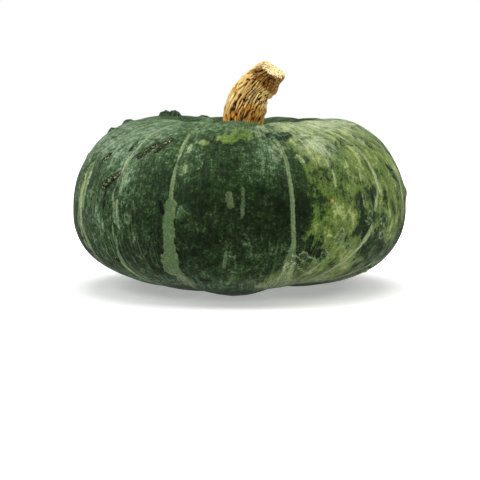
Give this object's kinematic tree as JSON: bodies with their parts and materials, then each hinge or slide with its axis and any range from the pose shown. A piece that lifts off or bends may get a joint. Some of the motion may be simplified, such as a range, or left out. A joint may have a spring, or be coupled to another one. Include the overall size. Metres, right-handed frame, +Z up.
{
  "type": "kabocha squash",
  "caption": "Whole flat round winter squash with shallow ribs, a waxy dark green mottled rind, warts and a dry furrowed stem that leans over.",
  "frame": {"origin": "under the middle of the squash, on the surface it stands on", "axes": "+Z up along the fruit's axis, stem end up; the side seen in the picture faces -Y; the stem leans towards +X"},
  "size_m": [0.2, 0.1946, 0.135],
  "materials": {
    "rind": "waxy satin rind, dark green with paler stripes and olive mottling",
    "dry_stem": "rough dry cork, tan ridges and brown furrows"
  },
  "bodies": {
    "root": {"fruit": "rind", "stem": "dry_stem"}
  },
  "joints": []
}
